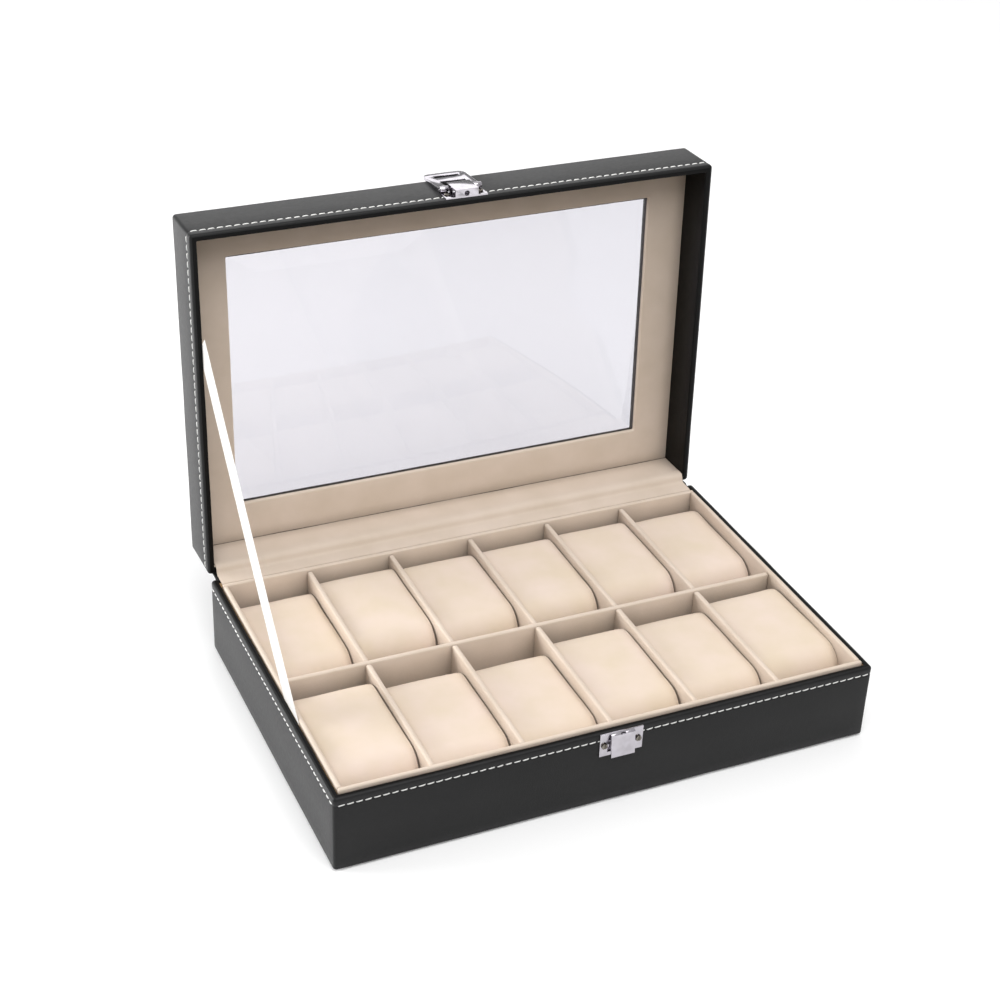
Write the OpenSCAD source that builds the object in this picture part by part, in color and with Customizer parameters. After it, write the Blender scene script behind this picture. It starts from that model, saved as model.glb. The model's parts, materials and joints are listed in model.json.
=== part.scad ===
// Watch box with a windowed lid: twelve lined compartments in two rows, each with a watch pillow,
// a lid with a glass window, a front clasp, a cloth hinge and a stay ribbon.
// Millimetres. X is right, Y is back, Z is up. The origin is the centre of the underside.
// The box is drawn standing open, with the lid swung back until the stay ribbon is taut.

/* [Overall] */
// Outside width of the box
box_w = 300; // [240:1:360]
// Outside depth of the box
box_d = 200; // [165:1:240]
// Height of the base, from the table to the top of its rim
base_h = 45; // [37:0.5:54]
// Height of the lid, from its rim to its top
lid_h = 31.9; // [28:0.1:40]
// Angle the lid stands open at
open_angle = 91.9; // [80:0.1:110]
// Gap between the two rims when the lid is shut
lid_gap = 0.3; // [0.1:0.1:1]

/* [Leather covering] */
// Thickness of the leather
leather_t = 0.6; // [0.4:0.1:0.9]
// Radius of the four upright corners
corner_r = 2; // [1.6:0.1:4]
// Radius where the leather turns over a rim
edge_r = 1.5; // [1:0.1:1.6]
// Width of leather turned in under the base
under_w = 8; // [5:1:15]
// Depth of the channel the stitching lies in
stitch_depth = 0.3; // [0.1:0.05:0.35]
// Width of the stitched thread
thread_w = 0.6; // [0.4:0.1:1]
// Stitching below the base rim
base_stitch_drop = 4.4; // [3:0.1:8]
// Stitching above the lid rim
lid_stitch_rise = 5.5; // [3:0.1:9]

/* [Base] */
// Width of the base rim, front and sides
rim_w = 3.7; // [3:0.1:5]
// Width of the flat land behind the tray
back_land = 8; // [6:0.1:12]
// Thickness of the felt under the base
felt_t = 0.8; // [0.5:0.1:2]
// How far the felt stops short of the edge
felt_inset = 3; // [2:0.5:6]
// Thickness of the base's floor board
floor_board_t = 3; // [2:0.5:5]

/* [Tray] */
// Gap between the tray and the base rim
tray_gap = 0.4; // [0.3:0.1:1]
// Thickness of a padded tray wall
tray_t = 2.5; // [2:0.1:4]
// How far the tray lip stands above the base rim
tray_lip = 1.5; // [0.5:0.1:3]
// Thickness of the tray floor
tray_floor_t = 2; // [1:0.5:4]
// Thickness of a divider
divider_t = 2.8; // [2:0.1:4]
// Divider tops above the base rim
divider_rise = 0.2; // [-1:0.1:1]
// Side clearance in the halving slots of the dividers
slot_clear = 0.1; // [0.05:0.05:0.3]

/* [Pillows] */
// Length of a pillow, front to back
pillow_l = 75; // [60:0.5:80]
// Top of a pillow below the base rim
pillow_drop = 6; // [3:0.1:12]
// Radius of a pillow's long edges
pillow_r = 13; // [8:0.5:15]
// Gap on each side of a pillow
pillow_gap = 0.3; // [0.3:0.1:1]
// Gap behind a pillow of the back row
pillow_back_gap = 1.5; // [0.5:0.1:8]
// Gap behind a pillow of the front row
pillow_front_gap = 7.5; // [0.5:0.1:8]

/* [Lid] */
// Thickness of the lid's front and side boards
lid_board_t = 2.4; // [2:0.1:4]
// Thickness of the lid's back board
lid_back_t = 3.2; // [2.4:0.1:5]
// Thickness of the velvet inside the lid's back wall
velvet_t = 0.9; // [0.5:0.1:1.5]
// Depth of the lid's inside, from its rim to the velvet window frame
lid_depth = 22.5; // [18:0.5:26]
// Thickness of the velvet window frame
frame_t = 2; // [1.5:0.1:3]
// Gap around the velvet window frame
frame_gap = 0.2; // [0.1:0.1:1]
// Thickness of the glass
glass_t = 2; // [1:0.5:4]
// Width of glass held behind the frame
glass_hold = 13; // [8:1:16]
// Border of the window at the sides
window_side = 25; // [18:0.5:35]
// Border of the window at the front
window_front = 25; // [18:0.5:35]
// Border of the window at the back
window_back = 25; // [18:0.5:35]
// Extra border of the velvet frame at the sides
inner_side = 2; // [0:0.5:4]
// Extra border of the velvet frame at the back
inner_back = 3; // [0:0.5:5]
// How far the leather frame shows past the velvet frame at the front
inner_front = 1; // [0:0.5:3]

/* [Hinge] */
// Hinge line behind the back of the base
hinge_out = 2.3; // [1.8:0.1:3]
// Hinge line below the base rim
hinge_drop = 2.15; // [1.5:0.05:3]
// Thickness of the leather spine
spine_t = 0.7; // [0.5:0.1:1]
// Height of the spine glued to each back face
spine_leg = 12; // [8:1:20]
// Thickness of the velvet over the hinge
lining_t = 0.5; // [0.4:0.1:0.8]
// How far the hinge cloth stops short of each end
hinge_end = 3; // [2:0.5:10]

/* [Stay ribbon] */
// Width of the ribbon
ribbon_w = 16; // [10:0.5:25]
// Thickness of the ribbon
ribbon_t = 0.25; // [0.15:0.05:0.3]
// Ribbon's anchor on the base, in front of the middle
ribbon_front = 37.6; // [10:0.5:70]
// Length of ribbon tucked in beside the tray
ribbon_tuck = 8; // [4:1:20]
// Ribbon's anchor on the lid, from the lid's back face
ribbon_up = 133; // [100:1:170]
// Ribbon's anchor on the lid, from the lid's rim
ribbon_in = 6; // [4:0.5:12]

/* [Clasp] */
// Middle of the clasp, right of the middle of the box
clasp_x = 2; // [-20:0.5:20]
// Width of the clasp's plates and flap
clasp_w = 24; // [18:0.5:32]
// Height of a clasp plate
plate_h = 13.5; // [11:0.5:16]
// Thickness of the clasp's sheet metal
metal_t = 0.8; // [0.6:0.1:1]
// Width of a folded tongue
tongue_w = 13.2; // [9:0.1:16]
// Keeper plate's top below the base rim
keeper_drop = 0.4; // [0.2:0.1:2]
// Front of the keeper tongue at its fold
keeper_fold_p = 2.7; // [2.2:0.1:3]
// Front of the keeper tongue at its free end
keeper_free_p = 3.7; // [3:0.1:3.8]
// Clasp plate's lower edge above the lid rim
lid_plate_rise = 1.2; // [0.8:0.1:3]
// Front of the lid tongue
lid_tongue_p = 4.7; // [4.5:0.1:6]
// Pin above the lid rim
pin_rise = 10.5; // [9:0.1:12]
// Pin in front of the box's face
pin_p = 2.6; // [2.4:0.1:3]
// Diameter of the pin
pin_d = 1.4; // [1:0.1:1.6]
// Radial clearance of the flap's eyes on the pin
eye_clear = 0.06; // [0.02:0.01:0.1]
// Outside radius of the flap's curled eyes
eye_r = 1.6; // [1.4:0.1:1.7]
// Thickness of the flap
flap_t = 1.8; // [0.8:0.1:1.9]
// Length of the flap from the pin to its end
flap_l = 26; // [22:0.5:30]
// Width of the window in the flap
flap_window_w = 14.2; // [10:0.1:17]
// Far edge of the flap's window from the pin
flap_window_r = 11.8; // [10.5:0.1:13]
// Slot in the flap, nearest edge from the pin
flap_slot_r = 18; // [16.5:0.1:19]
// Height of the slot in the flap
flap_slot_h = 3.5; // [2:0.1:4]
// Radius of the flap's two end corners
flap_corner_r = 4; // [2:0.5:6]
// Lean of the flap towards the lid when it is folded back
flap_lean = 2.9; // [1:0.1:3]
// Diameter of a screw head
screw_head_d = 3.2; // [2.4:0.1:4]
// Height of a screw head
screw_head_h = 0.8; // [0.5:0.1:1]
// Diameter of a screw's shank
screw_d = 1.6; // [1.2:0.1:2]
// Screws from the middle of the clasp
screw_x = 9.5; // [8.8:0.1:11]

/* [Hidden] */
$fn = 48;
columns = 6;

half_w = box_w / 2;
half_d = box_d / 2;
rim_z = base_h + lid_gap;
hinge_y = half_d + hinge_out;
hinge_z = base_h - hinge_drop;
wall_t = rim_w - leather_t;

turn_z = felt_t;
floor_z0 = turn_z + leather_t;
floor_z1 = floor_z0 + floor_board_t;

wall_in = leather_t + lid_board_t;
lid_in = wall_in + leather_t;
rim_in = max(rim_w, lid_in);

tray_x = half_w - rim_in - tray_gap;
tray_y0 = -half_d + rim_in + tray_gap;
tray_y1 = half_d - back_land;
back_in_y = tray_y1 + 0.3;
tray_z0 = floor_z1;
tray_z1 = tray_z0 + tray_floor_t;
tray_top = base_h + tray_lip;
in_x = tray_x - tray_t;
in_y0 = tray_y0 + tray_t;
in_y1 = tray_y1 - tray_t;
div_top = base_h + divider_rise;
div_mid = (tray_z1 + div_top) / 2;
long_y = (in_y0 + in_y1) / 2;
cell_w = (2 * in_x - (columns - 1) * divider_t) / columns;
pitch = cell_w + divider_t;
cell_d = (in_y1 - in_y0 - divider_t) / 2;
slot_w = divider_t + 2 * slot_clear;

pillow_z0 = tray_z1 + 0.3;
pillow_z1 = base_h - pillow_drop;
pillow_h = pillow_z1 - pillow_z0;
pillow_w = cell_w - 2 * pillow_gap;
pillow_edge = min(pillow_r, pillow_h / 2 - 0.5);
pillow_len = min(pillow_l, cell_d - max(pillow_back_gap, pillow_front_gap) - 1);

back_in = leather_t + lid_back_t;
inner_h = lid_depth + frame_t;
panel_h0 = inner_h + glass_t;
panel_h1 = lid_h - leather_t;
inset = corner_r;

pin_z = rim_z + pin_rise;
screw_base_z = base_h - keeper_drop - plate_h * 0.53;
screw_lid_h = lid_plate_rise + plate_h * 0.36;
flap_rest = min(flap_l, lid_h - pin_rise);
flap_in = flap_t - metal_t / 2;
lean = min(flap_lean, asin((pin_p - flap_in - 0.1) / flap_rest));
shank_l = metal_t + leather_t + min(wall_t, lid_board_t) * 0.75;

// ---------- shared shapes ----------

// A box from one corner to the opposite one
module block(lo, hi) {
    translate(lo) cube(hi - lo);
}

// Flat outline with four round corners, centred
module round_rect(w, d, r) {
    square([w - 2 * r, d], center = true);
    square([w, d - 2 * r], center = true);
    for (sx = [-1, 1], sy = [-1, 1])
        translate([sx * (w / 2 - r), sy * (d / 2 - r)]) circle(r);
}

// Sweeps a profile round a rectangle with round corners. In the profile x runs in from the
// outside face and y runs up.
module sweep_ring(w, d, r) {
    for (turn = [0, 180]) rotate([0, 0, turn]) {
        translate([-(w / 2 - r), -d / 2, 0]) rotate([90, 0, 90])
            linear_extrude(height = w - 2 * r) children();
        rotate([0, 0, 90]) translate([-(d / 2 - r), -w / 2, 0]) rotate([90, 0, 90])
            linear_extrude(height = d - 2 * r) children();
        for (side = [0, 1]) translate([(w / 2 - r) * (1 - 2 * side), d / 2 - r, 0])
            rotate([0, 0, 90 * side]) rotate_extrude(angle = 90)
                translate([r, 0]) mirror([1, 0]) children();
    }
}

// What a round edge takes off a square one
module edge_cut(r) {
    difference() {
        translate([-0.5, -0.5]) square(r + 0.5);
        translate([r, r]) circle(r);
    }
}

// Leather round a wall: outside face, with a strip turned in at the top and the bottom
module skin_profile(z0, z1, groove_z, low_r, high_r) {
    difference() {
        translate([0, z0]) square([corner_r, z1 - z0]);
        translate([leather_t, z0 + leather_t])
            square([corner_r, z1 - z0 - 2 * leather_t]);
        translate([0, z0]) edge_cut(low_r);
        translate([0, z1]) mirror([0, 1]) edge_cut(high_r);
        translate([-0.5, groove_z - thread_w / 2]) square([stitch_depth + 0.5, thread_w]);
    }
}

// Swings what is drawn on the shut lid up to where the open lid stands
module lid_open() {
    translate([0, hinge_y, hinge_z]) rotate([-open_angle, 0, 0])
        translate([0, -hinge_y, -hinge_z]) children();
}

// Part of a board inside the leather, with its upright outside corners rounded to fit it
module cased_board(x0, x1, y0, y1, z0, z1) {
    translate([0, 0, z0]) linear_extrude(height = z1 - z0) intersection() {
        round_rect(box_w - 2 * leather_t, box_d - 2 * leather_t, corner_r - leather_t);
        translate([x0, y0]) square([x1 - x0, y1 - y0]);
    }
}

// Two screw holes or shanks through the front face, at height z
module screw_pair(z, p_out, p_in, d) {
    for (sx = [-1, 1]) translate([clasp_x + sx * screw_x, -half_d - p_out, z])
        rotate([-90, 0, 0]) cylinder(h = p_out + p_in, d = d);
}

// ---------- base ----------

module base_floor_board() {
    color("tan") block([-half_w + rim_w, -half_d + rim_w, floor_z0],
        [half_w - rim_w, back_in_y, floor_z1]);
}

module base_front_board() {
    color("tan") difference() {
        cased_board(-half_w, half_w, -half_d, -half_d + rim_w, floor_z0, base_h - leather_t);
        screw_pair(screw_base_z, 1, shank_l - metal_t, screw_d);
    }
}

module base_back_board() {
    color("tan")
        cased_board(-half_w, half_w, back_in_y, half_d, floor_z0, base_h - leather_t);
}

module base_side_board(side) {
    x0 = side < 0 ? -half_w : half_w - rim_w;
    color("tan") cased_board(x0, x0 + rim_w, -half_d + rim_w, back_in_y, floor_z0,
        base_h - leather_t);
}

module base_leather_wrap() {
    color("dimgray") difference() {
        union() {
            sweep_ring(box_w, box_d, corner_r)
                skin_profile(turn_z, base_h, base_h - base_stitch_drop, 1, edge_r);
            translate([0, 0, base_h - leather_t]) linear_extrude(height = leather_t)
                difference() {
                    square([box_w - 2 * inset, box_d - 2 * inset], center = true);
                    translate([-half_w + rim_w, -half_d + rim_w])
                        square([box_w - 2 * rim_w, back_in_y + half_d - rim_w]);
                }
            translate([0, 0, turn_z]) linear_extrude(height = leather_t) difference() {
                square([box_w - 2 * inset, box_d - 2 * inset], center = true);
                square([box_w - 2 * under_w, box_d - 2 * under_w], center = true);
            }
        }
        screw_pair(screw_base_z, 1, 2, screw_d);
    }
}

module base_stitching() {
    color("white") sweep_ring(box_w, box_d, corner_r)
        translate([0, base_h - base_stitch_drop - thread_w / 2])
            square([stitch_depth, thread_w]);
}

module base_felt() {
    color("black") linear_extrude(height = felt_t)
        round_rect(box_w - 2 * felt_inset, box_d - 2 * felt_inset, 3);
}

module keeper_plate() {
    top = base_h - keeper_drop;
    low = top - plate_h;
    color("silver") difference() {
        union() {
            block([clasp_x - clasp_w / 2, -half_d - metal_t, low],
                [clasp_x + clasp_w / 2, -half_d, top]);
            translate([clasp_x - tongue_w / 2, 0, 0]) rotate([90, 0, 90])
                linear_extrude(height = tongue_w) polygon([
                    [-half_d, top], [-half_d - keeper_fold_p + 0.7, top],
                    [-half_d - keeper_fold_p, top - 0.7],
                    [-half_d - keeper_fold_p, top - 2.8],
                    [-half_d - keeper_free_p, low],
                    [-half_d - keeper_free_p + metal_t, low],
                    [-half_d - keeper_fold_p + metal_t, top - 2.8],
                    [-half_d - keeper_fold_p + metal_t, top - metal_t],
                    [-half_d, top - metal_t]]);
        }
        screw_pair(screw_base_z, 3, 1, screw_d);
        translate([clasp_x, -half_d - keeper_fold_p, top - metal_t - 0.1])
            cylinder(h = metal_t + 0.2, r = 1.5);
    }
}

// Two slotted screws: head, driver slot and shank
module slotted_screws(z) {
    difference() {
        union() {
            screw_pair(z, metal_t, shank_l - metal_t, screw_d);
            translate([0, -metal_t, 0]) screw_pair(z, screw_head_h, 0, screw_head_d);
        }
        for (sx = [-1, 1])
            translate([clasp_x + sx * screw_x, -half_d - metal_t - screw_head_h, z])
                cube([0.5, 0.8, screw_head_d + 1], center = true);
    }
}

module keeper_screws() {
    color("silver") slotted_screws(screw_base_z);
}

// ---------- tray ----------

module tray_floor() {
    color("wheat") block([-tray_x, tray_y0, tray_z0], [tray_x, tray_y1, tray_z1]);
}

// A padded wall with a half-round lip, along X
module wall_along_x(x0, x1, y0, z_top) {
    r = tray_t / 2;
    block([x0, y0, tray_z1], [x1, y0 + tray_t, z_top - r]);
    translate([x0, y0 + r, z_top - r]) rotate([0, 90, 0]) cylinder(h = x1 - x0, r = r);
}

module tray_wall_front() {
    color("wheat") wall_along_x(-tray_x, tray_x, tray_y0, tray_top);
}

module tray_wall_back() {
    color("wheat") wall_along_x(-tray_x, tray_x, tray_y1 - tray_t, tray_top);
}

module tray_wall_side(x0) {
    r = tray_t / 2;
    color("wheat") {
        block([x0, in_y0, tray_z1], [x0 + tray_t, in_y1, tray_top - r]);
        translate([x0 + r, in_y0, tray_top - r]) rotate([-90, 0, 0])
            cylinder(h = in_y1 - in_y0, r = r);
    }
}

// Runs the full width. Slots from below halve it over the cross dividers.
module long_divider() {
    r = divider_t / 2;
    color("wheat") difference() {
        union() {
            block([-in_x, long_y - r, tray_z1], [in_x, long_y + r, div_top - r]);
            translate([-in_x, long_y, div_top - r]) rotate([0, 90, 0])
                cylinder(h = 2 * in_x, r = r);
        }
        for (i = [1 : columns - 1])
            block([(i - columns / 2) * pitch - slot_w / 2, long_y - 5, tray_z1 - 1],
                [(i - columns / 2) * pitch + slot_w / 2, long_y + 5, div_mid]);
    }
}

// Runs front to back. A slot from above halves it under the long divider.
module cross_divider(i) {
    r = divider_t / 2;
    x = (i - columns / 2) * pitch;
    color("wheat") difference() {
        union() {
            block([x - r, in_y0, tray_z1], [x + r, in_y1, div_top - r]);
            translate([x, in_y0, div_top - r]) rotate([-90, 0, 0])
                cylinder(h = in_y1 - in_y0, r = r);
        }
        block([x - 5, long_y - slot_w / 2, div_mid], [x + 5, long_y + slot_w / 2, div_top + 1]);
    }
}

// ---------- pillows ----------

// Pillow in one compartment: column 0 is at the left, row 0 at the back
module pillow(column, row) {
    x = (column - (columns - 1) / 2) * pitch;
    y1 = row == 0 ? in_y1 - pillow_back_gap : long_y - divider_t / 2 - pillow_front_gap;
    y0 = y1 - pillow_len;
    r = pillow_edge;
    color("blanchedalmond") translate([x - pillow_w / 2, 0, 0]) rotate([90, 0, 90])
        linear_extrude(height = pillow_w)
            translate([(y0 + y1) / 2, (pillow_z0 + pillow_z1) / 2])
                round_rect(pillow_len, pillow_h, r);
}

// ---------- lid, drawn shut and swung open ----------

module lid_front_board() {
    color("tan") lid_open() difference() {
        cased_board(-half_w, half_w, -half_d, -half_d + wall_in,
            rim_z + leather_t, rim_z + panel_h0);
        screw_pair(rim_z + screw_lid_h, 1, shank_l - metal_t, screw_d);
    }
}

module lid_back_board() {
    color("tan") lid_open() cased_board(-half_w, half_w, half_d - back_in, half_d,
        rim_z + leather_t, rim_z + panel_h0);
}

module lid_side_board(side) {
    x0 = side < 0 ? -half_w : half_w - wall_in;
    color("tan") lid_open() cased_board(x0, x0 + wall_in, -half_d + wall_in,
        half_d - back_in, rim_z + leather_t, rim_z + panel_h0);
}

// The window opening, grown all round by g
module window_hole(g) {
    translate([-half_w + window_side - g, -half_d + window_front - g])
        square([box_w - 2 * window_side + 2 * g,
            box_d - window_front - window_back + 2 * g]);
}

module lid_window_board() {
    color("tan") lid_open() translate([0, 0, rim_z + panel_h0])
        linear_extrude(height = panel_h1 - panel_h0) difference() {
            round_rect(box_w - 2 * leather_t, box_d - 2 * leather_t, corner_r - leather_t);
            window_hole(leather_t);
        }
}

module lid_leather_wrap() {
    color("dimgray") lid_open() difference() {
        union() {
            sweep_ring(box_w, box_d, corner_r)
                skin_profile(rim_z, rim_z + lid_h, rim_z + lid_stitch_rise, edge_r, edge_r);
            translate([0, 0, rim_z]) linear_extrude(height = leather_t) difference() {
                square([box_w - 2 * inset, box_d - 2 * inset], center = true);
                translate([-half_w + lid_in, -half_d + lid_in])
                    square([box_w - 2 * lid_in, box_d - lid_in - back_in]);
            }
            translate([0, 0, rim_z + leather_t]) linear_extrude(height = inner_h - leather_t)
                difference() {
                    translate([-half_w + wall_in, -half_d + wall_in])
                        square([box_w - 2 * wall_in, box_d - wall_in - back_in]);
                    translate([-half_w + lid_in, -half_d + lid_in])
                        square([box_w - 2 * lid_in, box_d]);
                }
        }
        screw_pair(rim_z + screw_lid_h, 1, leather_t + 0.1, screw_d);
    }
}

module lid_stitching() {
    color("white") lid_open() difference() {
        sweep_ring(box_w, box_d, corner_r)
            translate([0, rim_z + lid_stitch_rise - thread_w / 2])
                square([stitch_depth, thread_w]);
        screw_pair(rim_z + screw_lid_h, 1, 1, screw_d);
    }
}

module lid_top_leather() {
    color("dimgray") lid_open() {
        translate([0, 0, rim_z + panel_h1]) linear_extrude(height = leather_t) difference() {
            square([box_w - 2 * inset, box_d - 2 * inset], center = true);
            window_hole(0);
        }
        translate([0, 0, rim_z + panel_h0]) linear_extrude(height = panel_h1 - panel_h0)
            difference() {
                window_hole(leather_t);
                window_hole(0);
            }
    }
}

module lid_back_velvet() {
    color("wheat") lid_open() block(
        [-half_w + lid_in + frame_gap, half_d - back_in - velvet_t, rim_z + leather_t],
        [half_w - lid_in - frame_gap, half_d - back_in, rim_z + lid_depth - 0.1]);
}

module glass_pane() {
    g = glass_hold;
    color("lavender", 0.4) lid_open() translate([0, 0, rim_z + inner_h])
        linear_extrude(height = glass_t) window_hole(min(g, window_back - back_in - 1));
}

module window_velvet_frame() {
    color("wheat") lid_open() translate([0, 0, rim_z + lid_depth])
        linear_extrude(height = frame_t) difference() {
            translate([-half_w + lid_in + frame_gap, -half_d + lid_in + frame_gap])
                square([box_w - 2 * lid_in - 2 * frame_gap,
                    box_d - lid_in - back_in - velvet_t - 2 * frame_gap]);
            translate([-half_w + window_side + inner_side, -half_d + window_front - inner_front])
                square([box_w - 2 * window_side - 2 * inner_side,
                    box_d - window_front - window_back + inner_front - inner_back]);
        }
}

// ---------- clasp ----------

// Plate with a tongue folded up from its lower edge, and two ears that hold the pin
module clasp_plate() {
    z0 = rim_z + lid_plate_rise;
    z1 = z0 + plate_h;
    ear_x = tongue_w / 2 - 1.2;
    tongue_in = lid_tongue_p - metal_t;
    color("silver") lid_open() difference() {
        union() {
            block([clasp_x - clasp_w / 2, -half_d - metal_t, z0],
                [clasp_x + clasp_w / 2, -half_d, z1]);
            block([clasp_x - tongue_w / 2, -half_d - lid_tongue_p, z0],
                [clasp_x + tongue_w / 2, -half_d - metal_t, z0 + metal_t]);
            block([clasp_x - tongue_w / 2, -half_d - lid_tongue_p, z0 + metal_t],
                [clasp_x + tongue_w / 2, -half_d - tongue_in, z1 - 0.7]);
            for (sx = [-1, 1]) translate([clasp_x + sx * ear_x, 0, 0])
                block([-0.5, -half_d - tongue_in, pin_z - 1.3],
                    [0.5, -half_d - metal_t, pin_z + 1.3]);
        }
        screw_pair(rim_z + screw_lid_h, 3, 1, screw_d);
        translate([clasp_x - clasp_w, -half_d - pin_p, pin_z]) rotate([0, 90, 0])
            cylinder(h = 2 * clasp_w, d = pin_d);
        translate([clasp_x, -half_d - lid_tongue_p / 2, z0 - 1])
            cylinder(h = metal_t + 2, r = 1.5);
    }
}

module clasp_pin() {
    color("silver") lid_open() translate([clasp_x - clasp_w / 2, -half_d - pin_p, pin_z])
        rotate([0, 90, 0]) cylinder(h = clasp_w, d = pin_d);
}

module clasp_screws() {
    color("silver") lid_open() slotted_screws(rim_z + screw_lid_h);
}

// Flap drawn up from the pin, folded back against the front of the lid
module clasp_flap() {
    leg_w = (clasp_w - flap_window_w) / 2;
    color("silver") lid_open() translate([clasp_x, -half_d - pin_p, pin_z])
        rotate([-lean, 0, 0]) {
            difference() {
                union() {
                    translate([0, flap_in, 0]) rotate([90, 0, 0])
                        linear_extrude(height = flap_t) difference() {
                            union() {
                                translate([-clasp_w / 2, 0])
                                    square([clasp_w, flap_l - flap_corner_r]);
                                translate([-clasp_w / 2 + flap_corner_r, 0])
                                    square([clasp_w - 2 * flap_corner_r, flap_l]);
                                for (sx = [-1, 1]) translate(
                                    [sx * (clasp_w / 2 - flap_corner_r),
                                    flap_l - flap_corner_r]) circle(flap_corner_r);
                            }
                            translate([-flap_window_w / 2, -1])
                                square([flap_window_w, flap_window_r + 1]);
                            translate([-flap_window_w / 2, flap_slot_r])
                                square([flap_window_w, flap_slot_h]);
                        }
                    for (x0 = [-clasp_w / 2, clasp_w / 2 - leg_w]) translate([x0, 0, 0])
                        rotate([0, 90, 0]) cylinder(h = leg_w, r = eye_r);
                }
                translate([-clasp_w, 0, 0]) rotate([0, 90, 0])
                    cylinder(h = 2 * clasp_w, r = pin_d / 2 + eye_clear);
            }
        }
}

// ---------- hinge and ribbon ----------

// Leather spine: down the back of the base, round the hinge line and under the open lid
module hinge_spine() {
    gap = 0.05;
    r_out = hinge_out - gap;
    r_in = r_out - spine_t;
    length = box_w - 2 * hinge_end;
    color("dimgray") translate([-length / 2, 0, 0]) rotate([90, 0, 90])
        linear_extrude(height = length) {
            translate([half_d + gap, hinge_z - spine_leg]) square([spine_t, spine_leg]);
            translate([hinge_y, hinge_z]) intersection() {
                difference() {
                    circle(r_out);
                    circle(r_in);
                }
                translate([-2 * r_out, 0]) square(2 * r_out);
            }
            translate([hinge_y, hinge_z]) rotate(-open_angle)
                translate([-r_out, -0.2]) square([spine_t, spine_leg + 0.2]);
        }
}

// Velvet over the hinge: across the back land, then up the rim of the open lid
module hinge_velvet() {
    gap = 0.05;
    length = 2 * tray_x - 1;
    step_y = hinge_y + hinge_drop + lid_gap - gap;
    lid_y = step_y - lining_t;
    z0 = max(base_h + gap, hinge_z + hinge_out);
    z1 = hinge_z + hinge_out + back_in + velvet_t;
    color("wheat") translate([-length / 2, 0, 0]) rotate([90, 0, 90])
        linear_extrude(height = length) {
            translate([tray_y1 + 0.1, z0]) square([lid_y - tray_y1 + 0.1, lining_t]);
            translate([lid_y - 0.1, z0]) square([lining_t, z1 - z0]);
        }
}

// Ribbon: tucked in beside the tray at one end and glued to the lid's side wall at the other
module stay_ribbon() {
    x0 = -half_w + rim_in + 0.05;
    a = [-ribbon_front, base_h];
    ly = half_d - ribbon_up - hinge_y;
    lz = rim_z + ribbon_in - hinge_z;
    b = [hinge_y + ly * cos(-open_angle) - lz * sin(-open_angle),
        hinge_z + ly * sin(-open_angle) + lz * cos(-open_angle)];
    run = norm(b - a);
    slope = atan2(b[1] - a[1], b[0] - a[0]);
    color("white") translate([x0, 0, 0]) rotate([90, 0, 90])
        linear_extrude(height = ribbon_t) translate(a) rotate(slope)
            translate([-ribbon_tuck, -ribbon_w / 2]) square([run + ribbon_tuck, ribbon_w]);
}

// ---------- draw ----------

base_floor_board();
base_front_board();
base_back_board();
base_side_board(-1);  // base_left_board
base_side_board(1);  // base_right_board
base_leather_wrap();
base_stitching();
base_felt();
tray_floor();
tray_wall_front();
tray_wall_back();
tray_wall_side(-tray_x);  // tray_wall_left
tray_wall_side(in_x);  // tray_wall_right
long_divider();
cross_divider(1);  // cross_divider_1
cross_divider(2);  // cross_divider_2
cross_divider(3);  // cross_divider_3
cross_divider(4);  // cross_divider_4
cross_divider(5);  // cross_divider_5
pillow(0, 0);  // pillow_01
pillow(1, 0);  // pillow_02
pillow(2, 0);  // pillow_03
pillow(3, 0);  // pillow_04
pillow(4, 0);  // pillow_05
pillow(5, 0);  // pillow_06
pillow(0, 1);  // pillow_07
pillow(1, 1);  // pillow_08
pillow(2, 1);  // pillow_09
pillow(3, 1);  // pillow_10
pillow(4, 1);  // pillow_11
pillow(5, 1);  // pillow_12
keeper_plate();
keeper_screws();
lid_front_board();
lid_back_board();
lid_side_board(-1);  // lid_left_board
lid_side_board(1);  // lid_right_board
lid_window_board();
lid_leather_wrap();
lid_stitching();
lid_top_leather();
lid_back_velvet();
glass_pane();
window_velvet_frame();
clasp_plate();
clasp_pin();
clasp_screws();
clasp_flap();
hinge_spine();
hinge_velvet();
stay_ribbon();
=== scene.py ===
# Watch box with a glass lid: the looks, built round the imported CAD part.
# Everything is in metres, in the part's own frame: X right, Y back, Z up.
import json
import math
import random
import bpy
import bmesh
from mathutils import Matrix, Vector, noise


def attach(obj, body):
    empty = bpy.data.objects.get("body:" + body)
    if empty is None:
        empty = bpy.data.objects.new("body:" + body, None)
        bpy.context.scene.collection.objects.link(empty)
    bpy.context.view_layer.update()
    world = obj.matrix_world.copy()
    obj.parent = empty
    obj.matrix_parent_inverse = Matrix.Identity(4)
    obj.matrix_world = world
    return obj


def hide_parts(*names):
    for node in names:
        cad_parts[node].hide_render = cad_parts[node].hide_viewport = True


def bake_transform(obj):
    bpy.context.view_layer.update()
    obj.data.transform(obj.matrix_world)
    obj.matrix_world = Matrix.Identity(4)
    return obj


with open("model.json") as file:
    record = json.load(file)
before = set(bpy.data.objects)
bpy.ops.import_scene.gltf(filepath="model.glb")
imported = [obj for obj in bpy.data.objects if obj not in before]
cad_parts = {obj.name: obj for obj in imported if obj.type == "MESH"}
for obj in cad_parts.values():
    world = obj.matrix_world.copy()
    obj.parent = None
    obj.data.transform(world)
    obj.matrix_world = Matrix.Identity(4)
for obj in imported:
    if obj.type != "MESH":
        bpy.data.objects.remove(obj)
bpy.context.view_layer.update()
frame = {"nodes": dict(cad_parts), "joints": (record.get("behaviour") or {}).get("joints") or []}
nodes = frame["nodes"]
joints = {j["name"]: j for j in frame["joints"]}
mm = 0.001
print("frame loaded,", len(nodes), "nodes")

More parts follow.
